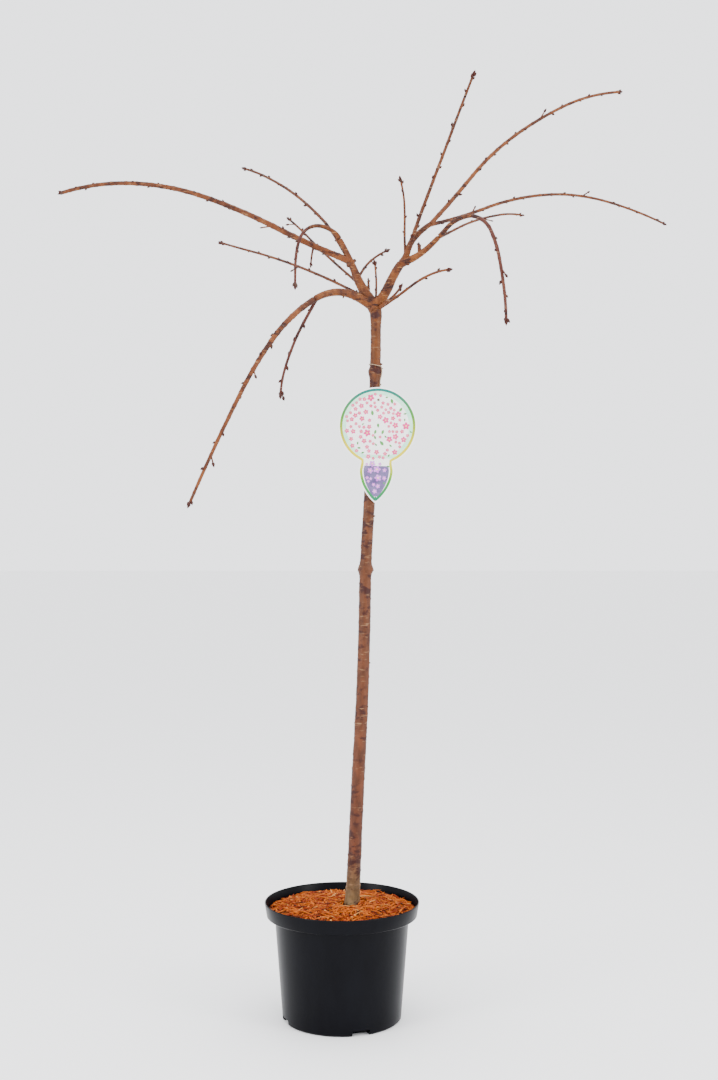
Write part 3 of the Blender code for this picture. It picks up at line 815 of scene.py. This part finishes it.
def height_value(tree):
    """The height above the pot's underside."""
    place = tree.nodes.new("ShaderNodeTexCoord")
    split = tree.nodes.new("ShaderNodeSeparateXYZ")
    tree.links.new(place.outputs["Object"], split.inputs["Vector"])
    return split.outputs["Z"]


def ramp(tree, value, stops):
    """Colours along a value, from (position, colour) stops."""
    stops = list(stops)
    node = tree.nodes.new("ShaderNodeValToRGB")
    points = node.color_ramp.elements
    while len(points) < len(stops):
        points.new(0.5)
    for point, (position, color) in zip(points, stops):
        point.position = position
        point.color = (*color, 1)
    tree.links.new(value, node.inputs["Fac"])
    return node.outputs["Color"]


def spots(tree, stretch, detail, start, full):
    """Scattered spots: black up to one level of a noise, and white from another."""
    return ramp(tree, noise_value(tree, stretch, detail), ((start, BLACK), (full, WHITE)))


def blend(tree, share, first, second, way="MIX"):
    """One colour that turns into another as the share goes from 0 to 1."""
    node = tree.nodes.new("ShaderNodeMix")
    node.data_type = "RGBA"
    node.blend_type = way
    for place, value in zip(MIX_INPUTS, (share, first, second)):
        if isinstance(value, bpy.types.NodeSocket):
            tree.links.new(value, node.inputs[place])
        else:
            node.inputs[place].default_value = (*value, 1) if isinstance(value, tuple) else value
    return node.outputs[MIX_RESULT]


def add_relief(tree, shader, stretch, strength, depth):
    """A fine relief on a surface, from a noise with these repeats per metre."""
    value = noise_value(tree, stretch)
    node = tree.nodes.new("ShaderNodeBump")
    node.inputs["Strength"].default_value = strength
    node.inputs["Distance"].default_value = depth
    tree.links.new(value, node.inputs["Height"])
    tree.links.new(node.outputs["Normal"], shader.inputs["Normal"])


def finish_bark(tree, shader, ground, patches, pores):
    """Dark patches and pale pores over a bark's ground colour."""
    color = ground
    for mask, spot in (patches, pores):
        color = blend(tree, spots(tree, *mask), color, spot)
    tree.links.new(color, shader.inputs["Base Color"])


def bark_material(kind):
    """Young cherry bark: mottled, with pale pores across it and dark red patches."""
    dark, middle, light, pore = BARK_TONES[kind]
    material, tree, shader = new_material(f"{kind}_bark", BARK_ROUGHNESS, BARK_GLOSS)
    mottle = ramp(tree, noise_value(tree, BARK_MOTTLE), zip(BARK_LEVELS, (dark, middle, light)))
    finish_bark(tree, shader, mottle, (BARK_PATCHES, dark), (BARK_PORES, pore))
    add_relief(tree, shader, *BARK_RELIEF)
    return material


def trunk_material():
    """The stem: greenish grey at its foot, brown with dark red patches, orange-brown above the graft."""
    material, tree, shader = new_material("trunk_bark", BARK_ROUGHNESS, BARK_GLOSS)
    tones = ramp(tree, height_value(tree), TRUNK_TONES)
    mottle = ramp(tree, noise_value(tree, TRUNK_MOTTLE), zip(TRUNK_LEVELS, (TRUNK_SHADE, WHITE)))
    ground = blend(tree, TRUNK_SHADE_SHARE, tones, mottle, "MULTIPLY")
    finish_bark(tree, shader, ground, (TRUNK_PATCHES, TRUNK_PATCH), (TRUNK_PORES, TRUNK_PORE))
    add_relief(tree, shader, *TRUNK_RELIEF)
    return material


def speckled(name, surface=None):
    """A surface that wanders between two close colours, with a fine relief."""
    roughness, gloss, stretch, *relief = SURFACES[surface or name]
    material, tree, shader = new_material(name, roughness, gloss)
    color = ramp(tree, noise_value(tree, stretch), zip(SPECKLE_LEVELS, TONES[name]))
    tree.links.new(color, shader.inputs["Base Color"])
    add_relief(tree, shader, *relief)
    return material


def make_boughs(paths):
    """Bark over the trunk, and over the boughs as one piece."""
    trunk_skin = Shape()
    limb_skin(trunk_skin, paths["trunk"], TRUNK_MESH)
    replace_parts(trunk_skin.make("trunk_skin", trunk_material(), "bark"), "trunk")

    boughs = Shape()
    names = [limb.name for limb in LIMBS if not limb.buds and limb.parent]
    for name in names:
        limb_skin(boughs, paths[name], BOUGH_MESH)
    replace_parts(boughs.make("bough_skin", bark_material("bough"), "bark"), *names)


def twig_tone(name):
    """The tone of a twig's bark."""
    if name in ORANGE_TWIGS:
        return "orange"
    return "purple" if name in PURPLE_TWIGS else "brown"


def make_twigs(paths):
    """The twigs and their buds, each joined by tone."""
    twigs = {tone: Shape() for tone in ("orange", "purple", "brown")}
    members = {tone: [] for tone in twigs}
    dark = Shape()
    grey = Shape()
    for index, limb in enumerate(LIMBS):
        if not limb.buds:
            continue
        tone = twig_tone(limb.name)
        nodes = grow_buds(paths, limb, BUD_SEED + index, twigs[tone], dark, grey)
        limb_skin(twigs[tone], paths[limb.name], TWIG_MESH, nodes)
        members[tone].append(limb.name)
    for tone, shape in twigs.items():
        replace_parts(shape.make(f"{tone}_twigs", bark_material(f"{tone}_twig"), "twigs"), *members[tone])
    dark.make("dark_buds", speckled("dark_bud_scales"), "twigs")
    grey.make("grey_buds", speckled("grey_bud_scales"), "twigs")


def make_stubs(paths):
    """Pruning stubs and old spurs on the trunk and boughs."""
    stubs = Shape()
    for name, share, heading, climb, radius, length in STUBS:
        start = paths[name].at(share)
        stalk(stubs, start, start + direction(heading, climb) * length, radius, STUB_SIDES)
    stubs.make("pruning_stubs", speckled("stub_bark"), "bark")


def turned(name, outline, sides):
    """A solid of revolution about Z from (radius, height) points that start and end on the axis."""
    shape = bmesh.new()
    rings = []
    for radius, height in outline:
        if radius == 0:
            rings.append([shape.verts.new((0, 0, height))])
            continue
        rings.append([shape.verts.new((radius * cos(turn), radius * sin(turn), height))
                      for turn in turns(sides)])
    for low, high in zip(rings, rings[1:]):
        for k in range(sides):
            after = (k + 1) % sides
            corners = [ring[i % len(ring)] for ring, i in ((low, k), (low, after), (high, after), (high, k))]
            shape.faces.new(list(dict.fromkeys(corners)))
    return object_from(name, shape)


def object_from(name, shape):
    """A named object from a bmesh, with its faces pointing out."""
    bmesh.ops.recalc_face_normals(shape, faces=shape.faces)
    mesh = bpy.data.meshes.new(name)
    shape.to_mesh(mesh)
    shape.free()
    return new_object(name, mesh)


def cut(obj, tools):
    """Cuts the tools from the object by Booleans that are applied, and removes the tools."""
    for tool in tools:
        modifier = obj.modifiers.new("cut", "BOOLEAN")
        modifier.operation = "DIFFERENCE"
        modifier.solver = "EXACT"
        modifier.object = tool
    view = bpy.context.evaluated_depsgraph_get()
    result = bpy.data.meshes.new_from_object(obj.evaluated_get(view))
    obj.modifiers.clear()
    obj.data = result
    for tool in tools:
        bpy.data.objects.remove(tool)


def wall_radius(height):
    """The pot's outer radius below its band."""
    return BASE_RADIUS + (SHOULDER_RADIUS - BASE_RADIUS) * height / SHOULDER_HEIGHT


def pot_outline():
    """The pot's section, from its underside round the rim to the top of its floor."""
    return (
        (0, 0),
        (CHANNEL_INNER, 0),
        (CHANNEL_INNER + CHANNEL_SLOPE, CHANNEL_RISE),
        (CHANNEL_OUTER - CHANNEL_SLOPE, CHANNEL_RISE),
        (CHANNEL_OUTER, 0),
        (BASE_RADIUS - BASE_EDGE, 0),
        (wall_radius(BASE_EDGE), BASE_EDGE),
        (wall_radius(BASE_LOOP), BASE_LOOP),
        (SHOULDER_RADIUS, SHOULDER_HEIGHT),
        (BAND_RADIUS - BAND_EDGE, SHOULDER_HEIGHT),
        (BAND_RADIUS, SHOULDER_HEIGHT + BAND_EDGE),
        (RIM_RADIUS, RIM_HEIGHT - RIM_OUTER_EDGE),
        (RIM_RADIUS - WALL / 2, RIM_HEIGHT),
        (RIM_RADIUS - WALL, RIM_HEIGHT - RIM_INNER_EDGE),
        (BAND_RADIUS - WALL, SHOULDER_HEIGHT + WALL),
        (SHOULDER_RADIUS - WALL, SHOULDER_HEIGHT + WALL),
        (wall_radius(FLOOR_TOP) - WALL, FLOOR_TOP),
        (0, FLOOR_TOP),
    )


def notch_cutter(turn):
    """The block that cuts one drain notch."""
    shape = bmesh.new()
    bmesh.ops.create_cube(shape, size=1)
    bmesh.ops.scale(shape, vec=(NOTCH_DEPTH, NOTCH_WIDTH, NOTCH_HEIGHT + NOTCH_BELOW), verts=shape.verts)
    bmesh.ops.translate(shape, vec=(BASE_RADIUS, 0, (NOTCH_HEIGHT - NOTCH_BELOW) / 2), verts=shape.verts)
    bmesh.ops.rotate(shape, matrix=Matrix.Rotation(turn, 3, "Z"), verts=shape.verts)
    return object_from("notch", shape)


def make_pot():
    """The pot, turned finely, with its drain notches and small rounded edges."""
    pot = turned("pot_shell", pot_outline(), POT_SIDES)
    cut(pot, [notch_cutter(NOTCH_FIRST_ANGLE + k * tau / NOTCH_COUNT) for k in range(NOTCH_COUNT)])
    bevel = pot.modifiers.new("soft_edges", "BEVEL")
    bevel.width = POT_BEVEL
    bevel.segments = POT_BEVEL_SEGMENTS
    bevel.limit_method = "ANGLE"
    bevel.angle_limit = POT_BEVEL_ANGLE
    pot.data.shade_smooth()
    pot.data.set_sharp_from_angle(angle=POT_SHARP_ANGLE)
    pot.data.materials.clear()
    pot.data.materials.append(speckled("pot_plastic"))
    dress(pot)
    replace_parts(pot, "pot")


def paint_node(name, material):
    """Gives a solid that stays in view its finish."""
    obj = frame["nodes"][name]
    for slot in obj.material_slots:
        slot.material = material


def mulch_height(radius):
    """The level of the mulch at this distance from the pot's axis."""
    distances = (0, MULCH_FLAT_RADIUS, MULCH_SLOPE_RADIUS, BAND_RADIUS)
    levels = (MULCH_LEVEL, MULCH_LEVEL, MULCH_EDGE_LEVEL + MULCH_SLOPE_RISE, MULCH_EDGE_LEVEL)
    return float(np.interp(radius, distances, levels))


def sliver(shape, centre, heading, tilt, length, width, thick, bend):
    """One torn strip of bark: a bent, tapered bar."""
    ahead = direction(degrees(heading), degrees(tilt))
    side = Vector((-sin(heading), cos(heading), 0))
    up = ahead.cross(side)
    rings = []
    for share, size in SLIVER_PROFILE:
        middle = centre + ahead * (length * share) + up * (bend * (0.5 ** 2 - share * share) * length)
        half = side * (width * size / 2)
        rise = up * (thick * size / 2)
        left = middle - half
        right = middle + half
        rings.append([left - rise, right - rise, right + rise, left + rise])
    shape.cap(shape.loft(rings))


def on_mulch(spot, reach):
    """Whether a strip lies inside the pot and clear of the trunk."""
    ends = [spot + reach, spot - reach]
    if any(hypot(end.x, end.y) > MULCH_REACH for end in ends):
        return False
    return all(hypot(point.x - FOOT_X, point.y) >= TRUNK_CLEARANCE for point in (*ends, spot))


def make_mulch():
    """Torn bark strips strewn over the mix, dealt out among four plain tones; the rust-red share is partly
    painted shade.
    """
    chance = Random(SLIVER_SEED)
    shapes = [Shape() for _ in SLIVER_SHARES]
    for _ in range(SLIVER_COUNT):
        radius = MULCH_REACH * sqrt(chance.random())
        around = chance.uniform(0, tau)
        heading = chance.uniform(0, tau)
        length = SLIVER_LENGTH[0] + SLIVER_LENGTH[1] * chance.random() ** 2
        width = chance.uniform(*SLIVER_WIDTH)
        thick = chance.uniform(*SLIVER_THICKNESS)
        tilt = radians(chance.uniform(-SLIVER_TILT, SLIVER_TILT))
        lift = chance.uniform(*SLIVER_LIFT)
        bend = chance.uniform(*SLIVER_BEND)
        shape = chance.choices(shapes, SLIVER_SHARES.values())[0]
        spot = Vector((radius * cos(around), radius * sin(around), mulch_height(radius) + lift))
        reach = Vector((cos(heading), sin(heading), 0)) * (length / 2)
        if on_mulch(spot, reach):
            sliver(shape, spot, heading, tilt, length, width, thick, bend)
    for tone, shape in zip(SLIVER_SHARES, shapes):
        material = speckled(f"{tone}_bark_strip", "bark_strip")
        shape.make(f"{tone}_bark_strips", material, "bark_mulch", smooth=False)
    paint_node("potting_mix", speckled("mulch_bed"))


def tongue_half_width(share):
    """Half the tongue's width at a share of its length: widest a little below the neck."""
    if share < TONGUE_WIDEST:
        return NECK_HALF_WIDTH + (TONGUE_HALF_WIDTH - NECK_HALF_WIDTH) * share / TONGUE_WIDEST
    past = (share - TONGUE_WIDEST) / (1 - TONGUE_WIDEST)
    return TONGUE_HALF_WIDTH * (1 - past ** 2) ** TONGUE_ROUNDING


def down_tongue(share):
    """The label's z at a share of the tongue's length."""
    return -NECK_DROP - (TONGUE_REACH - NECK_DROP) * share


def label_outline():
    """The label's edge, anticlockwise from the right of the neck round the disc and down the tongue."""
    join = asin(NECK_HALF_WIDTH / LABEL_DISC_RADIUS)
    points = []
    for i in range(LABEL_ARC_STEPS + 1):
        turn = -pi / 2 + join + (tau - 2 * join) * i / LABEL_ARC_STEPS
        points.append((LABEL_DISC_RADIUS * cos(turn), LABEL_DISC_RADIUS * sin(turn)))
    left = []
    for i in range(1, TONGUE_STEPS):
        share = i / TONGUE_STEPS
        left.append((-tongue_half_width(share), down_tongue(share)))
    return points + left + [(0, -TONGUE_REACH)] + [(-x, z) for x, z in reversed(left)]


def inset(points, distance):
    """A closed anticlockwise outline moved inwards, with the tongue's two sides meeting in a mitre."""
    moved = []
    for i, (x, z) in enumerate(points):
        x0, z0 = points[i - 1]
        x1, z1 = points[(i + 1) % len(points)]
        length = hypot(x1 - x0, z1 - z0)
        moved_x = x - (z1 - z0) / length * distance
        moved_z = z + (x1 - x0) / length * distance
        past_middle = z < -LABEL_DISC_RADIUS and moved_x * x <= 0
        moved.append((0, TIP_MITRE * distance - TONGUE_REACH) if past_middle else (moved_x, moved_z))
    return moved


def on_label(x, z, rise=0.0):
    """A point of the label's front, raised from it, in the frame's metres."""
    turned_x = cos(LABEL_TILT) * x + sin(LABEL_TILT) * z
    turned_z = -sin(LABEL_TILT) * x + cos(LABEL_TILT) * z
    return Vector((LABEL_X + turned_x, LABEL_BACK_Y - LABEL_THICKNESS - rise, LABEL_Z + turned_z))


def printed(shape, outline, coats):
    """A thin printed patch with its edge: a low prism on the label's front."""
    low = shape.ring([on_label(x, z) for x, z in outline])
    high = shape.ring([on_label(x, z, INK * coats) for x, z in outline])
    shape.bridge(low, high)
    shape.cap(high)


def band(outer, inner, coats=1):
    """A raised printed band between two outlines with the same number of points."""
    shape = Shape()
    rise = INK * coats
    rings = [shape.ring([on_label(x, z, height) for x, z in edge])
             for edge, height in ((outer, 0), (outer, rise), (inner, rise), (inner, 0))]
    for low, high in zip(rings, rings[1:]):
        shape.bridge(low, high)
    return shape


def tongue_field():
    """The part of the tongue inside its rim, from just below the neck to above its tip."""
    right = []
    for i in range(TONGUE_STEPS + 1):
        share = FIELD_START + FIELD_LENGTH * i / TONGUE_STEPS
        half = tongue_half_width(share) - (RING_INNER + FIELD_GAP) * FIELD_SLANT
        right.append((half, down_tongue(share)))
    return [(-x, z) for x, z in right] + right[::-1]


def laid(x, z, along, across, turn):
    """A point along and across a motif that lies turned at x, z."""
    return (x + along * cos(turn) - across * sin(turn),
            z + along * sin(turn) + across * cos(turn))


def blossom(petals, hearts, x, z, size, turn):
    """A plain blossom from above."""
    for k in range(PETALS):
        way = turn + k * tau / PETALS
        outline = []
        for around in turns(PETAL_POINTS):
            along = size * (PETAL_MIDDLE + PETAL_HALF_LENGTH * cos(around))
            across = size * PETAL_HALF_WIDTH * sin(around)
            outline.append(laid(x, z, along, across, way))
        printed(petals, outline, PETAL_COATS + NEXT_PETAL_COATS * k)
    reach = size * HEART_RADIUS
    heart = [(x + reach * cos(around), z + reach * sin(around)) for around in turns(HEART_POINTS)]
    printed(hearts, heart, HEART_COATS)


def leaf(shape, x, z, size, turn):
    """A small pointed leaf."""
    right = [(share, -half) for share, half in LEAF_WIDTHS]
    edge = [(0, 0), *right, (1, 0), *reversed(LEAF_WIDTHS)]
    printed(shape, [laid(x, z, size * share, size * half, turn) for share, half in edge], LEAF_COATS)


def hole_cutter():
    """The round bar that cuts the string's hole."""
    shape = bmesh.new()
    bmesh.ops.create_cone(shape, cap_ends=True, segments=HOLE_SIDES, radius1=LABEL_HOLE_RADIUS,
                          radius2=LABEL_HOLE_RADIUS, depth=HOLE_CUT)
    bmesh.ops.rotate(shape, matrix=Matrix.Rotation(pi / 2, 3, "X"), verts=shape.verts)
    bmesh.ops.translate(shape, vec=on_label(0, LABEL_HOLE_RISE), verts=shape.verts)
    return object_from("label_hole", shape)


def make_print(shape, name, tone):
    """A piece of the label in one ink."""
    return shape.make(name, speckled(tone, "ink"), "label_card", smooth=False)


def make_card(outline):
    """The white card with its hole."""
    card = Shape()
    back = card.ring([on_label(x, z, -LABEL_THICKNESS) for x, z in outline])
    front = card.ring([on_label(x, z) for x, z in outline])
    card.bridge(back, front)
    card.cap(back, flipped=True)
    card.cap(front)
    piece = make_print(card, "label_board", "label_white")
    cut(piece, [hole_cutter()])
    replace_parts(piece, "label")


def rim_ink():
    """The rim's ink: green at the foot, yellow half-way up, and green again at the top."""
    material, tree, shader = new_material("label_rim_ink", INK_ROUGHNESS, INK_GLOSS)
    span = tree.nodes.new("ShaderNodeMapRange")
    span.inputs["From Min"].default_value = LABEL_Z - TONGUE_REACH
    span.inputs["From Max"].default_value = LABEL_Z + LABEL_DISC_RADIUS
    tree.links.new(height_value(tree), span.inputs["Value"])
    tree.links.new(ramp(tree, span.outputs["Result"], RIM_TONES), shader.inputs["Base Color"])
    return material


def make_tints(outline):
    """The rim, a pale tint inside it round the disc, and a mauve field on the tongue."""
    rim = band(inset(outline, WHITE_BORDER), inset(outline, RING_INNER))
    rim.make("label_rim", rim_ink(), "label_card", smooth=False)
    edges = []
    for width in (TINT_GAP, TINT_WIDTH):
        scale = 1 - (RING_INNER + width) / LABEL_DISC_RADIUS
        edges.append([(x * scale, z * scale) for x, z in outline[:LABEL_ARC_STEPS + 1]])
    make_print(band(*edges, TINT_COATS), "label_tint", "mint_ink")
    field = Shape()
    printed(field, tongue_field(), FIELD_COATS)
    make_print(field, "label_tongue_field", "mauve_ink")


def in_tongue(x, z, size):
    """Whether a motif lies on the tongue, clear of its rim."""
    down = (-z - NECK_DROP) / (TONGUE_REACH - NECK_DROP)
    first, last = MOTIF_TONGUE
    return first < down < last and abs(x) < tongue_half_width(down + MOTIF_TONGUE_ROOM) - MOTIF_MARGIN - size


def make_motifs():
    """Strewn blossoms and leaves of no one picture: pink on the disc, violet on the tongue."""
    pinks = Shape()
    hearts = Shape()
    violets = Shape()
    leaves = Shape()
    chance = Random(MOTIF_SEED)
    placed = []
    for _ in range(MOTIF_TRIES):
        x = chance.uniform(-MOTIF_REACH, MOTIF_REACH)
        z = chance.uniform(MOTIF_LOWEST, MOTIF_REACH)
        size = chance.uniform(*MOTIF_SIZE)
        turn = chance.uniform(0, MOTIF_TURN)
        on_tongue = in_tongue(x, z, size)
        in_disc = hypot(x, z) < LABEL_DISC_RADIUS - MOTIF_MARGIN - size
        if not (in_disc or on_tongue) or hypot(x, z - LABEL_HOLE_RISE) < size + MOTIF_HOLE_ROOM:
            continue
        if any(hypot(x - a, z - b) < (size + s) * MOTIF_SPACING for a, b, s in placed):
            continue
        placed.append((x, z, size))
        if chance.random() < LEAF_SHARE:
            leaf(leaves, x, z, size * LEAF_GROWTH, turn)
        else:
            blossom(violets if on_tongue else pinks, hearts, x, z, size, turn)
    make_print(pinks, "label_pink_blossom", "pink_ink")
    make_print(violets, "label_violet_blossom", "violet_ink")
    make_print(hearts, "label_blossom_hearts", "heart_ink")
    make_print(leaves, "label_leaves", "leaf_ink")


def make_label():
    """The tag, and the finish of its string."""
    outline = label_outline()
    make_card(outline)
    make_tints(outline)
    make_motifs()
    paint_node("label_tie", speckled("tie_string"))


def make_floor():
    """A plain pale floor."""
    mesh = bpy.data.meshes.new("floor")
    corners = ((-1, -1), (1, -1), (1, 1), (-1, 1))
    mesh.from_pydata([(x * FLOOR_REACH, y * FLOOR_REACH, 0) for x, y in corners], [], [(0, 1, 2, 3)])
    material, _, shader = new_material("floor", FLOOR_ROUGHNESS, FLOOR_GLOSS)
    shader.inputs["Base Color"].default_value = (*FLOOR_COLOR, 1)
    mesh.materials.append(material)
    new_object("floor", mesh)


def add_area(name, place, aim, width, height, power):
    """A soft box that shines from its place towards its aim."""
    light = bpy.data.lights.new(name, "AREA")
    light.shape = "RECTANGLE"
    light.size = width
    light.size_y = height
    light.energy = power
    obj = new_object(name, light)
    obj.location = place
    obj.rotation_euler = (Vector(aim) - Vector(place)).to_track_quat("-Z", "Y").to_euler()


def make_light():
    """Two tall soft boxes in front and one overhead, in a pale room."""
    world = bpy.data.worlds.new("room")
    world.use_nodes = True
    background = world.node_tree.nodes["Background"]
    background.inputs["Color"].default_value = (*ROOM_COLOR, 1)
    background.inputs["Strength"].default_value = ROOM_STRENGTH
    bpy.context.scene.world = world
    for box in LIGHTS:
        add_area(*box)


def make_camera():
    """The level camera in front of the plant."""
    lens = bpy.data.cameras.new("camera")
    lens.lens = CAMERA_LENS
    lens.sensor_width = CAMERA_SENSOR
    camera = new_object("camera", lens)
    camera.location = CAMERA_PLACE
    camera.rotation_euler = (pi / 2, 0, 0)
    bpy.context.scene.camera = camera


make_camera()
make_light()
make_floor()
limb_paths = grow()
make_boughs(limb_paths)
make_twigs(limb_paths)
make_stubs(limb_paths)
make_pot()
make_mulch()
make_label()
